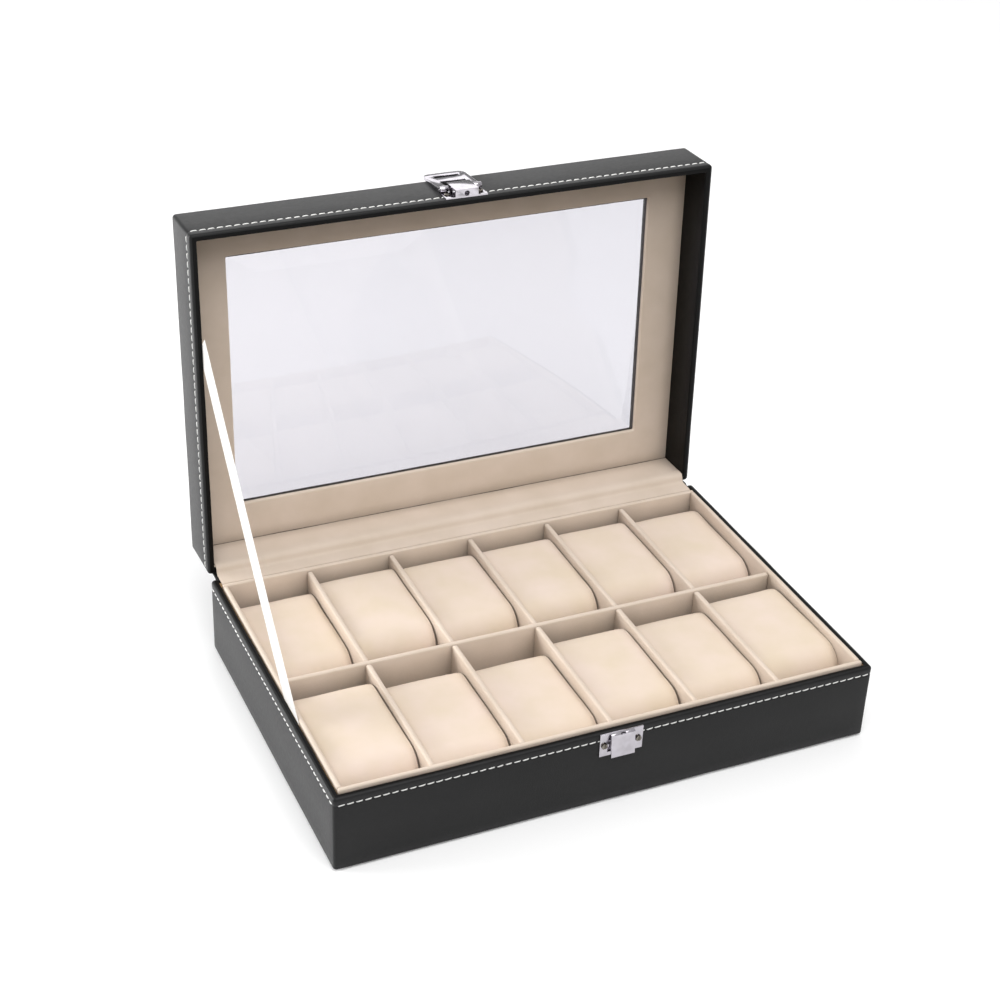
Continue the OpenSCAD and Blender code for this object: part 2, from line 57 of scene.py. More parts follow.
# The lid is worked on shut, where its walls are square to the axes, then swung open.
hingeAt = Vector(joints["lid_hinge"]["pos_m"])
shutTurn = -math.radians(joints["lid_hinge"]["range_deg"][0])


def turnAboutX(point, angle):
    return Matrix.Translation(point) @ Matrix.Rotation(angle, 4, "X") @ Matrix.Translation(-point)


openToShut = turnAboutX(hingeAt, shutTurn)
shutToOpen = turnAboutX(hingeAt, -shutTurn)


def boxOf(nodeName, turn=None):
    # lowest and highest corner of a CAD node, after an optional turn
    turn = turn or Matrix.Identity(4)
    points = [turn @ v.co for v in nodes[nodeName].data.vertices]
    low = Vector([min(p[i] for p in points) for i in range(3)])
    high = Vector([max(p[i] for p in points) for i in range(3)])
    return low, high


# materials, each after what the thing is made of

def linear(hexColour):
    # sRGB hex to linear light
    out = []
    for i in (1, 3, 5):
        c = int(hexColour[i:i + 2], 16) / 255
        out.append(c / 12.92 if c <= 0.04045 else ((c + 0.055) / 1.055) ** 2.4)
    return (*out, 1.0)


def addNode(tree, kind, inputs=None, **settings):
    # a node with its settings; an input is a value or the socket it comes from
    node = tree.nodes.new(kind)
    for key, value in settings.items():
        setattr(node, key, value)
    for key, value in (inputs or {}).items():
        if isinstance(value, bpy.types.NodeSocket):
            tree.links.new(value, node.inputs[key])
        else:
            node.inputs[key].default_value = value
    return node


def newMaterial(name):
    material = bpy.data.materials.new(name)
    material.use_nodes = True
    tree = material.node_tree
    tree.nodes.clear()
    output = addNode(tree, "ShaderNodeOutputMaterial")
    place = addNode(tree, "ShaderNodeTexCoord").outputs["Object"]
    return material, tree, output, place


def rampOf(tree, factor, stops):
    node = addNode(tree, "ShaderNodeValToRGB", {"Fac": factor})
    ramp = node.color_ramp
    while len(ramp.elements) < len(stops):
        ramp.elements.new(0.5)
    for element, (position, colour) in zip(ramp.elements, stops):
        element.position = position
        element.color = linear(colour)
    return node.outputs["Color"]


def paintedCornerShade(tree, colour, shadeReach, shadeLeast):
    # painted shade: where ambient occlusion finds a tight corner or crease, the colour is
    # darkened, standing in for the little light that gets in there
    openness = addNode(tree, "ShaderNodeAmbientOcclusion", {"Distance": shadeReach}, samples=4)
    level = addNode(tree, "ShaderNodeMapRange", {"Value": openness.outputs["AO"],
                    "From Min": 0.05, "From Max": 0.8, "To Min": shadeLeast, "To Max": 1.0})
    return addNode(tree, "ShaderNodeVectorMath", {0: colour, 1: level.outputs[0]},
                   operation="MULTIPLY").outputs[0]


# Embossed PU leather on a cloth backing: a fine pebble grain, black, half matt. Light along the
# grain turns it grey, so the side that faces a lamp looks paler than the front.
leatherLook = {"dark": "#0d0d0e", "light": "#131314", "pebble": 0.75 * mm, "depth": 0.07 * mm,
               "roughness": 0.45, "shine": 0.27, "sheen": 0.16}
# painted shade: the turned edge on top of the boards gets a blacker, less shiny copy of the
# leather, standing in for the shade that falls on the rim tops and the window's inner edge
shadedRimLook = {**leatherLook, "dark": "#070707", "light": "#0b0b0b", "shine": 0.12, "sheen": 0.0}


def leatherMaterial(name, look):
    material, tree, output, place = newMaterial(name)
    cells = addNode(tree, "ShaderNodeTexVoronoi", {"Vector": place, "Scale": 1 / look["pebble"],
                    "Smoothness": 0.4}, feature="SMOOTH_F1")
    creases = addNode(tree, "ShaderNodeTexNoise", {"Vector": place, "Scale": 420, "Detail": 3})
    broad = addNode(tree, "ShaderNodeTexNoise", {"Vector": place, "Scale": 30, "Detail": 2})
    height = addNode(tree, "ShaderNodeMath", {0: cells.outputs["Distance"],
                     1: creases.outputs["Fac"]}, operation="ADD")
    bump = addNode(tree, "ShaderNodeBump", {"Height": height.outputs[0], "Strength": 0.55,
                   "Distance": look["depth"]})
    colour = rampOf(tree, broad.outputs["Fac"], [(0.35, look["dark"]), (0.7, look["light"])])
    shine = addNode(tree, "ShaderNodeMapRange", {"Value": creases.outputs["Fac"],
                    "To Min": look["roughness"] - 0.06, "To Max": look["roughness"] + 0.08})
    surface = addNode(tree, "ShaderNodeBsdfPrincipled", {"Base Color": colour,
                      "Roughness": shine.outputs[0], "IOR": 1.5, "Normal": bump.outputs[0],
                      "Specular IOR Level": look["shine"], "Sheen Weight": look["sheen"],
                      "Sheen Roughness": 0.4})
    tree.links.new(surface.outputs[0], output.inputs["Surface"])
    return material


def pileMaterial(name, look):
    # Flocked or napped cloth: each fibre catches light at its tip, so edges look paler and the
    # flat carries faint soft blotches where the pile leans one way or the other.
    material, tree, output, place = newMaterial(name)
    fibre = addNode(tree, "ShaderNodeTexNoise", {"Vector": place, "Scale": 1 / look["fibre"],
                    "Detail": 2, "Roughness": 0.7})
    lean = addNode(tree, "ShaderNodeTexNoise", {"Vector": place, "Scale": look["blotch"],
                   "Detail": 3, "Roughness": 0.55})
    colour = rampOf(tree, lean.outputs["Fac"], [(0.3, look["dark"]), (0.7, look["light"])])
    # painted shade: the cloth's colour is darkened in its corners and creases
    colour = paintedCornerShade(tree, colour, look["shadeReach"], look["shadeLeast"])
    bump = addNode(tree, "ShaderNodeBump", {"Height": fibre.outputs["Fac"],
                   "Strength": look["strength"], "Distance": look["depth"]})
    surface = addNode(tree, "ShaderNodeBsdfPrincipled", {"Base Color": colour, "Roughness": 0.95,
                      "IOR": 1.45, "Specular IOR Level": 0.15, "Normal": bump.outputs[0],
                      "Sheen Weight": look["sheen"], "Sheen Roughness": 0.5,
                      "Sheen Tint": linear(look["tip"])})
    tree.links.new(surface.outputs[0], output.inputs["Surface"])
    return material


velvetLook = {"dark": "#d5c5b4", "light": "#ddcdbe", "tip": "#fff4ea", "fibre": 0.35 * mm,
              "blotch": 45, "depth": 0.12 * mm, "strength": 0.35, "sheen": 0.2,
              "shadeReach": 14 * mm, "shadeLeast": 0.6}
pillowLook = {"dark": "#e1d0ba", "light": "#e9d7c9", "tip": "#fff6ee", "fibre": 0.35 * mm,
              "blotch": 38, "depth": 0.1 * mm, "strength": 0.3, "sheen": 0.2,
              "shadeReach": 7 * mm, "shadeLeast": 0.5}
feltLook = {"dark": "#101010", "light": "#1b1b1b", "tip": "#555555", "fibre": 0.6 * mm,
            "blotch": 90, "depth": 0.2 * mm, "strength": 0.5, "sheen": 0.2,
            "shadeReach": 5 * mm, "shadeLeast": 0.7}


def satinMaterial():
    # Woven satin ribbon: long floats give a soft shine along its length
    material, tree, output, place = newMaterial("whiteSatin")
    threads = addNode(tree, "ShaderNodeTexWave", {"Vector": place, "Scale": 900,
                      "Distortion": 0.6}, bands_direction="Z")
    bump = addNode(tree, "ShaderNodeBump", {"Height": threads.outputs["Fac"], "Strength": 0.15,
                   "Distance": 0.03 * mm})
    tone = addNode(tree, "ShaderNodeTexNoise", {"Vector": place, "Scale": 60})
    colour = rampOf(tree, tone.outputs["Fac"], [(0.3, "#fbf8f3"), (0.7, "#fffdf9")])
    surface = addNode(tree, "ShaderNodeBsdfPrincipled", {"Base Color": colour, "Roughness": 0.38,
                      "IOR": 1.5, "Normal": bump.outputs[0], "Sheen Weight": 0.3})
    tree.links.new(surface.outputs[0], output.inputs["Surface"])
    return material


def threadMaterial():
    # Waxed polyester sewing thread: two plies twisted, slightly glossy
    material, tree, output, place = newMaterial("whiteThread")
    twist = addNode(tree, "ShaderNodeTexWave", {"Vector": place, "Scale": 700,
                    "Distortion": 1.5}, bands_direction="DIAGONAL")
    colour = rampOf(tree, twist.outputs["Fac"], [(0.1, "#efeeea"), (0.6, "#fbfbf8")])
    bump = addNode(tree, "ShaderNodeBump", {"Height": twist.outputs["Fac"], "Strength": 0.4,
                   "Distance": 0.08 * mm})
    surface = addNode(tree, "ShaderNodeBsdfPrincipled", {"Base Color": colour, "Roughness": 0.5,
                      "IOR": 1.5, "Normal": bump.outputs[0]})
    tree.links.new(surface.outputs[0], output.inputs["Surface"])
    return material


nickelLook = {"plate": ("#b8b4ba", "#c9c5cc"), "screw": ("#6e6961", "#8a857d"),
              "shadeReach": 1.6 * mm, "shadeLeast": 0.04}


def nickelMaterial(name, dark, light):
    # Stamped steel with bright nickel plating: mirror-like, with faint rubbing marks
    material, tree, output, place = newMaterial(name)
    marks = addNode(tree, "ShaderNodeTexNoise", {"Vector": place, "Scale": 900, "Detail": 4})
    broad = addNode(tree, "ShaderNodeTexNoise", {"Vector": place, "Scale": 220, "Detail": 1})
    shine = addNode(tree, "ShaderNodeMapRange", {"Value": marks.outputs["Fac"],
                    "To Min": 0.07, "To Max": 0.16})
    colour = rampOf(tree, broad.outputs["Fac"], [(0.3, dark), (0.7, light)])
    # painted shade: the metal's colour is darkened round the screws and in the folds
    colour = paintedCornerShade(tree, colour, nickelLook["shadeReach"], nickelLook["shadeLeast"])
    bump = addNode(tree, "ShaderNodeBump", {"Height": broad.outputs["Fac"], "Strength": 0.2,
                   "Distance": 0.05 * mm})
    surface = addNode(tree, "ShaderNodeBsdfPrincipled", {"Base Color": colour, "Metallic": 1.0,
                      "Roughness": shine.outputs[0], "Normal": bump.outputs[0]})
    tree.links.new(surface.outputs[0], output.inputs["Surface"])
    return material


glassLook = {"index": 1.5, "tint": (0.83, 0.824, 0.85, 1)}


def glassMaterial():
    # Float glass pane: seen straight through, with the room mirrored faintly in it
    material, tree, output, place = newMaterial("clearGlass")
    waves = addNode(tree, "ShaderNodeTexNoise", {"Vector": place, "Scale": 9, "Detail": 1})
    bump = addNode(tree, "ShaderNodeBump", {"Height": waves.outputs["Fac"], "Strength": 0.05,
                   "Distance": 0.3 * mm})
    # light goes straight on through the pane, so both of its faces mirror as seen from the air
    side = addNode(tree, "ShaderNodeNewGeometry").outputs["Backfacing"]
    density = addNode(tree, "ShaderNodeMapRange", {"Value": side,
                      "To Min": glassLook["index"], "To Max": 1 / glassLook["index"]})
    share = addNode(tree, "ShaderNodeFresnel", {"IOR": density.outputs[0],
                    "Normal": bump.outputs[0]})
    clear = addNode(tree, "ShaderNodeBsdfTransparent", {"Color": glassLook["tint"]})
    mirrorLike = addNode(tree, "ShaderNodeBsdfGlossy", {"Color": (1, 1, 1, 1),
                         "Roughness": 0.02, "Normal": bump.outputs[0]})
    both = addNode(tree, "ShaderNodeMixShader", {0: share.outputs[0], 1: clear.outputs[0],
                   2: mirrorLike.outputs[0]})
    tree.links.new(both.outputs[0], output.inputs["Surface"])
    return material


def boardMaterial():
    # Medium-density fibreboard, cut with a saw: fine brown flecks
    material, tree, output, place = newMaterial("fibreboard")
    flecks = addNode(tree, "ShaderNodeTexNoise", {"Vector": place, "Scale": 700, "Detail": 4})
    colour = rampOf(tree, flecks.outputs["Fac"], [(0.3, "#8d6d4a"), (0.7, "#b0906a")])
    bump = addNode(tree, "ShaderNodeBump", {"Height": flecks.outputs["Fac"], "Strength": 0.3,
                   "Distance": 0.1 * mm})
    surface = addNode(tree, "ShaderNodeBsdfPrincipled", {"Base Color": colour, "Roughness": 0.85,
                      "Normal": bump.outputs[0]})
    tree.links.new(surface.outputs[0], output.inputs["Surface"])
    return material


leather = leatherMaterial("blackLeather", leatherLook)
paintedShadeRimLeather = leatherMaterial("blackLeatherPaintedShade", shadedRimLook)
velvet = pileMaterial("beigeVelvet", velvetLook)
pillowCloth = pileMaterial("creamVelvet", pillowLook)
felt = pileMaterial("blackFelt", feltLook)
satin = satinMaterial()
thread = threadMaterial()
nickel = nickelMaterial("brightNickel", *nickelLook["plate"])
screwNickel = nickelMaterial("screwNickel", *nickelLook["screw"])
glass = glassMaterial()
board = boardMaterial()
print("materials made")


# shapes that several pieces share

def finishPiece(name, bm, material, body, stands, turn=None, sharp=40):
    # turns a bmesh into a piece of the object that stands in for CAD nodes and rides on a body
    bmesh.ops.recalc_face_normals(bm, faces=bm.faces)
    mesh = bpy.data.meshes.new(name)
    bm.to_mesh(mesh)
    bm.free()
    if turn:
        mesh.transform(turn)
    piece = bpy.data.objects.new(name, mesh)
    bpy.context.scene.collection.objects.link(piece)
    mesh.shade_smooth()
    mesh.set_sharp_from_angle(angle=math.radians(sharp))
    mesh.materials.append(material)
    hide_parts(*stands)
    if body:
        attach(piece, body)
    return piece


def rectanglePath(x0, x1, y0, y1, radius, nx, ny, nc=5):
    # points round a rectangle with round corners, in order
    radius = max(min(radius, (x1 - x0) / 2, (y1 - y0) / 2), 1e-5)
    points = []
    corners = [(x1 - radius, y1 - radius, 0), (x0 + radius, y1 - radius, 90),
               (x0 + radius, y0 + radius, 180), (x1 - radius, y0 + radius, 270)]
    for k, (cx, cy, start) in enumerate(corners):
        for i in range(nc + 1):
            a = math.radians(start + 90 * i / nc)
            points.append((cx + radius * math.cos(a), cy + radius * math.sin(a)))
        nxt = corners[(k + 1) % 4]
        a = math.radians(start + 90)
        sx, sy = cx + radius * math.cos(a), cy + radius * math.sin(a)
        ex, ey = nxt[0] + radius * math.cos(a), nxt[1] + radius * math.sin(a)
        count = nx if k % 2 == 0 else ny
        for i in range(1, count):
            points.append((sx + (ex - sx) * i / count, sy + (ey - sy) * i / count))
    return points


def bridgeRings(bm, a, b):
    n = len(a)
    for i in range(n):
        bm.faces.new((a[i], a[(i + 1) % n], b[(i + 1) % n], b[i]))


def loftRings(rings):
    # skins a list of equal rings and joins the last ring to the first
    bm = bmesh.new()
    made = [[bm.verts.new(p) for p in ring] for ring in rings]
    for a, b in zip(made, made[1:] + made[:1]):
        bridgeRings(bm, a, b)
    return bm


def arcPoints(cx, cz, radius, start, stop, steps):
    return [(cx + radius * math.cos(math.radians(start + (stop - start) * i / steps)),
             cz + radius * math.sin(math.radians(start + (stop - start) * i / steps)))
            for i in range(steps + 1)]


def ringsFromProfile(profile, box, cornerR, innerR, nx, ny):
    # a profile is (inset from the outside, height); box is the outside x0, x1, y0, y1
    rings = []
    for inset, height in profile:
        x0, x1, y0, y1 = box[0] + inset, box[1] - inset, box[2] + inset, box[3] - inset
        path = rectanglePath(x0, x1, y0, y1, max(cornerR - inset, innerR), nx, ny)
        rings.append([Vector((x, y, height)) for x, y in path])
    return rings


def roundedBlock(low, high, radius, segments=4, endRadius=0, endAxis=1):
    # a block with rolled edges; endRadius rounds the two upper ends first
    bm = bmesh.new()
    bmesh.ops.create_cube(bm, size=1)
    size = [high[i] - low[i] for i in range(3)]
    for v in bm.verts:
        v.co = Vector([(low[i] + high[i]) / 2 + v.co[i] * size[i] for i in range(3)])
    if endRadius:
        across = 1 - endAxis
        ends = [e for e in bm.edges
                if abs(e.verts[0].co[across] - e.verts[1].co[across]) > 1e-6
                and min(v.co.z for v in e.verts) > (low[2] + high[2]) / 2]
        bmesh.ops.bevel(bm, geom=ends, offset=endRadius, segments=5, profile=0.5,
                        affect="EDGES")
    edges = [e for e in bm.edges if e.calc_face_angle(0) > math.radians(35)]
    bmesh.ops.bevel(bm, geom=edges, offset=min(radius, min(size) * 0.49), segments=segments,
                    profile=0.5, affect="EDGES")
    return bm


def bevelledCopy(nodeName, name, material, body, width, segments=2):
    # the CAD node's own shape with its edges broken, as a pressed or cut piece has
    bm = bmesh.new()
    bm.from_mesh(nodes[nodeName].data)
    bmesh.ops.remove_doubles(bm, verts=bm.verts, dist=1e-6)
    bmesh.ops.dissolve_limit(bm, angle_limit=math.radians(1), verts=bm.verts, edges=bm.edges)
    edges = [e for e in bm.edges if e.calc_face_angle(0) > math.radians(30)]
    bmesh.ops.bevel(bm, geom=edges, offset=width, segments=segments, profile=0.5,
                    affect="EDGES", clamp_overlap=True)
    return finishPiece(name, bm, material, body, [nodeName], sharp=30)


def ripple(piece, amount, scale, seed):
    # pushes the surface in and out a little, as covering over board is never dead flat
    shift = Vector((seed * 7.3, seed * 3.1, seed * 5.7))
    mesh = piece.data
    normals = [v.normal.copy() for v in mesh.vertices]
    for v, n in zip(mesh.vertices, normals):
        v.co += n * amount * noise.noise(v.co * scale + shift)
    mesh.update()


# base: covered boards

baseLook = {"rimWidth": 3.7 * mm, "rimRound": 1.5 * mm, "innerRound": 0.9 * mm,
            "footRound": 1.2 * mm, "cornerRound": 2.0 * mm, "seamDent": 0.22 * mm,
            "tuck": 4 * mm, "ripple": 0.16 * mm, "foldUnder": 8 * mm, "wall": 1.5 * mm,
            "underside": 0.7 * mm}


def seamProfile(z, dent, halfWidth=1.1 * mm):
    # the leather is pulled in a little along a row of stitches
    return [(0, z - halfWidth), (dent * 0.6, z - halfWidth * 0.45), (dent, z),
            (dent * 0.6, z + halfWidth * 0.45), (0, z + halfWidth)]


def paintRimShade(piece, profile, flatZ, stopZ, start, around):
    # painted shade: the flat top of the rim and the turn down inside it take the blacker, less
    # shiny copy of the leather, standing in for the shade there
    piece.data.materials.append(paintedShadeRimLeather)
    count = len(profile)
    paintedShadeRows = []
    for i in range(count):
        (a, az), (b, bz) = profile[i], profile[(i + 1) % count]
        flat = min(abs(az - flatZ), abs(bz - flatZ)) < 0.5 * mm or \
            min(az, bz) < max(stopZ, flatZ) and max(az, bz) > min(stopZ, flatZ)
        paintedShadeRows.append(min(a, b) >= start - 1e-6 and flat)
    for index, face in enumerate(piece.data.polygons):
        if paintedShadeRows[index // around]:
            face.material_index = 1


def buildBase():
    look = baseLook
    low, high = boxOf("base_leather_wrap")
    stitchLow, stitchHigh = boxOf("base_stitching")
    seamZ = (stitchLow.z + stitchHigh.z) / 2
    rim = look["rimWidth"]
    top, r, f = high.z, look["rimRound"], look["footRound"]
    ir = look["innerRound"]
    foldUnder, underside = look["foldUnder"], low.z + look["underside"]
    profile = [(foldUnder, low.z), (f, low.z)]
    profile += [(f - f * math.sin(math.radians(a)), low.z + f - f * math.cos(math.radians(a)))
                for a in (30, 60, 90)]
    profile += [(0, low.z + 6 * mm), (0, (low.z + top) / 2)]
    profile += seamProfile(seamZ, look["seamDent"])
    profile += [(r - r * math.cos(math.radians(a)), top - r + r * math.sin(math.radians(a)))
                for a in (0, 22, 45, 68, 90)]
    profile += [(rim - ir, top), (rim - ir * 0.3, top - ir * 0.3), (rim, top - ir),
                (rim, top - look["tuck"])]
    profile += [(rim - look["wall"], top - look["tuck"]), (rim - look["wall"], underside),
                (foldUnder, underside)]
    rings = ringsFromProfile(profile, (low.x, high.x, low.y, high.y), look["cornerRound"],
                             0.5 * mm, 60, 40)
    piece = finishPiece("baseLeather", loftRings(rings), leather, "base",
                        ["base_leather_wrap"])
    # painted shade on the base's rim top and its inner turn
    paintRimShade(piece, profile, top - 0.01 * mm, top - 2 * mm, r, len(rings[0]))
    ripple(piece, look["ripple"], 38, 1)
    return seamZ, (low, high)


baseSeamZ, baseBox = buildBase()
print("base covered")


# lid: covered boards and window frame, worked on shut

lidLook = {"rimRound": 1.5 * mm, "innerRound": 0.7 * mm, "wallExtra": 0.15 * mm,
           "glassCover": 13.7 * mm, "topRound": 1.5 * mm, "cornerRound": 2.0 * mm,
           "seamDent": 0.22 * mm, "windowRound": 1.2 * mm, "ripple": 0.16 * mm,
           "wall": 1.2 * mm, "overGlass": 0.05 * mm}


def buildLid():
    look = lidLook
    low, high = boxOf("lid_leather_wrap", openToShut)
    stitchLow, stitchHigh = boxOf("lid_stitching", openToShut)
    windowLow, windowHigh = boxOf("glass_pane", openToShut)
    frameLow, frameHigh = boxOf("window_velvet_frame", openToShut)
    seamZ = (stitchLow.z + stitchHigh.z) / 2
    wall = frameLow.x - low.x + look["wallExtra"]
    border = windowLow.x + look["glassCover"] - low.x
    r, ir, t, w = (look[k] for k in ("rimRound", "innerRound", "topRound", "windowRound"))
    profile = [(wall, frameHigh.z), (wall, frameLow.z), (wall, low.z + 8 * mm)]
    profile += [(wall - ir + ir * math.cos(math.radians(a)),
                 low.z + ir - ir * math.sin(math.radians(a))) for a in (0, 30, 60, 90)]
    profile += [(r - r * math.sin(math.radians(a)), low.z + r - r * math.cos(math.radians(a)))
                for a in (0, 22, 45, 68, 90)]
    profile += seamProfile(seamZ, look["seamDent"])
    profile += [(0, (low.z + high.z) / 2)]
    profile += [(t - t * math.cos(math.radians(a)), high.z - t + t * math.sin(math.radians(a)))
                for a in (0, 22, 45, 68, 90)]
    profile += [(border / 2, high.z), (border - w, high.z), (border - w * 0.3, high.z - w * 0.3),
                (border, high.z - w), (border, windowHigh.z + look["overGlass"])]
    profile += [(wall - look["wall"], windowHigh.z + look["overGlass"])]
    rings = ringsFromProfile(profile, (low.x, high.x, low.y, high.y), look["cornerRound"],
                             0.6 * mm, 60, 40)
    piece = finishPiece("lidLeather", loftRings(rings), leather, "lid",
                        ["lid_leather_wrap", "lid_top_leather"], shutToOpen)
    # painted shade on the lid's rim and round the window's inner edge
    paintRimShade(piece, profile, low.z, low.z + 12 * mm, r, len(rings[0]))
    paintRimShade(piece, profile, high.z - 0.3 * w, windowHigh.z, border - w * 0.5, len(rings[0]))
    ripple(piece, look["ripple"], 38, 2)
    return seamZ, (low, high)


lidSeamZ, lidBox = buildLid()
print("lid covered")


# stitching, one row round the base and one round the lid

stitchLook = {"pitch": 4.58 * mm, "dash": 4.0 * mm, "thread": 0.74 * mm, "slant": 5,
              "proud": 0.2 * mm, "bury": 0.3 * mm, "sides": 6, "inset": 0.22 * mm,
              "cornerGap": 1.6 * mm}


def stitchRow(name, box, seamZ, body, node, turn, seed):
    # one dash after another round the box, each dipping into the leather at both ends
    look = stitchLook
    chance = random.Random(seed)
    low, high = box
    dent = look["inset"]
    x0, x1, y0, y1 = low.x + dent, high.x - dent, low.y + dent, high.y - dent
    bm = bmesh.new()
    sides = [(Vector((x0, y0, 0)), Vector((1, 0, 0)), x1 - x0, Vector((0, -1, 0))),
             (Vector((x1, y0, 0)), Vector((0, 1, 0)), y1 - y0, Vector((1, 0, 0))),
             (Vector((x1, y1, 0)), Vector((-1, 0, 0)), x1 - x0, Vector((0, 1, 0))),
             (Vector((x0, y1, 0)), Vector((0, -1, 0)), y1 - y0, Vector((-1, 0, 0)))]
    up = Vector((0, 0, 1))
    for start, along, length, out in sides:
        clear = look["cornerGap"]
        count = round((length - 2 * clear) / look["pitch"])
        pitch = (length - 2 * clear) / count
        for i in range(count):
            slant = math.radians(look["slant"] + chance.uniform(-2, 2))
            direction = along * math.cos(slant) + up * math.sin(slant)
            across = out.cross(direction)
            middle = start + along * (clear + (i + 0.5) * pitch)
            middle += up * (seamZ + chance.uniform(-0.06, 0.06) * mm)
            half = look["dash"] / 2 * chance.uniform(0.96, 1.03)
            rings = []
            for k in range(7):
                t = -1 + 2 * k / 6
                radius = look["thread"] / 2 * (1 - 0.45 * abs(t) ** 4)
                lift = look["proud"] - (look["bury"] + look["proud"]) * abs(t) ** 5
                centre = middle + direction * half * t + out * lift
                ring = []
                for s in range(look["sides"]):
                    a = 2 * math.pi * s / look["sides"]
                    ring.append(bm.verts.new(centre + across * radius * math.cos(a)
                                             + out * radius * 0.8 * math.sin(a)))
                rings.append(ring)
            for a, b in zip(rings, rings[1:]):
                bridgeRings(bm, a, b)
            bm.faces.new(list(reversed(rings[0])))
            bm.faces.new(rings[-1])
    return finishPiece(name, bm, thread, body, [node], turn, sharp=60)


stitchRow("baseStitches", baseBox, baseSeamZ, "base", "base_stitching", None, 11)
stitchRow("lidStitches", lidBox, lidSeamZ, "lid", "lid_stitching", shutToOpen, 12)
print("stitches sewn")


# tray: board walls padded and wrapped in velvet

trayLook = {"roll": 0.95 * mm, "endRound": 2.6 * mm, "longEndRound": 1.6 * mm,
            "ripple": 0.12 * mm}


def subdivideLong(bm, step=6 * mm):
    # cuts across long faces, so that the ripple has something to move
    for axis in range(3):
        low = min(v.co[axis] for v in bm.verts)
        high = max(v.co[axis] for v in bm.verts)
        count = int((high - low) / step)
        for i in range(1, count):
            at = Vector((0, 0, 0))
            at[axis] = low + (high - low) * i / count
            normal = Vector((0, 0, 0))
            normal[axis] = 1
            geom = bm.verts[:] + bm.edges[:] + bm.faces[:]
            bmesh.ops.bisect_plane(bm, geom=geom, plane_co=at, plane_no=normal)
    return bm


def paddedWall(name, nodeName, seed, endRound=0, endAxis=1):
    look = trayLook
    low, high = boxOf(nodeName)
    bm = roundedBlock(low, high, look["roll"], 4, endRound, endAxis)
    piece = finishPiece(name, subdivideLong(bm), velvet, "base", [nodeName])
    ripple(piece, look["ripple"], 70, seed)


def buildTray():
    look = trayLook
    paddedWall("trayFloor", "tray_floor", 20)
    for i, side in enumerate(("front", "back", "left", "right")):
        paddedWall("trayWall" + side.capitalize(), "tray_wall_" + side, 21 + i)
    paddedWall("longDivider", "long_divider", 26, look["longEndRound"], 0)
    longLow, longHigh = boxOf("long_divider")
    for i in range(1, 6):
        # each cross divider shows as two halves, one each side of the long one
        nodeName = "cross_divider_%d" % i
        low, high = boxOf(nodeName)
        bm = roundedBlock(low, Vector((high.x, longLow.y + 0.4 * mm, high.z)),
                          look["roll"], 4, look["endRound"], 1)
        back = roundedBlock(Vector((low.x, longHigh.y - 0.4 * mm, low.z)), high,
                            look["roll"], 4, look["endRound"] * 0.5, 1)
        half = bpy.data.meshes.new("half")
        back.to_mesh(half)
        back.free()
        bm.from_mesh(half)
        bpy.data.meshes.remove(half)
        piece = finishPiece("crossDivider%d" % i, subdivideLong(bm), velvet, "base", [nodeName])
        ripple(piece, look["ripple"], 70, 30 + i)


buildTray()
print("tray lined")


# pillows: foam in napped cloth, one to a compartment

pillowShape = {"sideRound": 1.5 * mm, "crown": 0.7 * mm, "endBulge": 0.15 * mm,
               "sideGap": 0.05 * mm, "edgeRound": 13 * mm, "seam": 0.22 * mm,
               "ripple": 0.35 * mm}
# how far back, how high (mm) and how far turned (degrees) each pillow happens to sit
pillowSeat = {1: (-1.0, -1.2, 0.2), 2: (1.2, 2.9, -0.2), 3: (1.0, 1.5, 0.1), 4: (1.0, 1.8, -0.1),
              5: (1.2, 2.3, 0.1), 6: (0.5, 0.6, 0.0), 7: (3.5, 2.8, 0.1), 8: (0.0, 0.0, -0.2),
              9: (-1.5, -0.6, 0.2), 10: (3.0, 1.9, -0.1), 11: (2.5, 1.3, 0.1),
              12: (5.5, 3.5, 1.6)}


def sectionPoint(u, halfY, halfZ, radius):
    # point on a rounded rectangle; u runs from 0 to 1 round it by angle
    a = 2 * math.pi * u
    dy, dz = math.cos(a), math.sin(a)
    k = min(halfY / max(abs(dy), 1e-9), halfZ / max(abs(dz), 1e-9))
    y, z = dy * k, dz * k
    cy, cz = halfY - radius, halfZ - radius
    if abs(y) > cy and abs(z) > cz:
        sy, sz = math.copysign(cy, y), math.copysign(cz, z)
        # the ray from the middle meets the corner's arc
        b = dy * sy + dz * sz
        c = sy * sy + sz * sz - radius * radius
        k = b + math.sqrt(max(b * b - c, 0))
        y, z = dy * k, dz * k
    return y, z


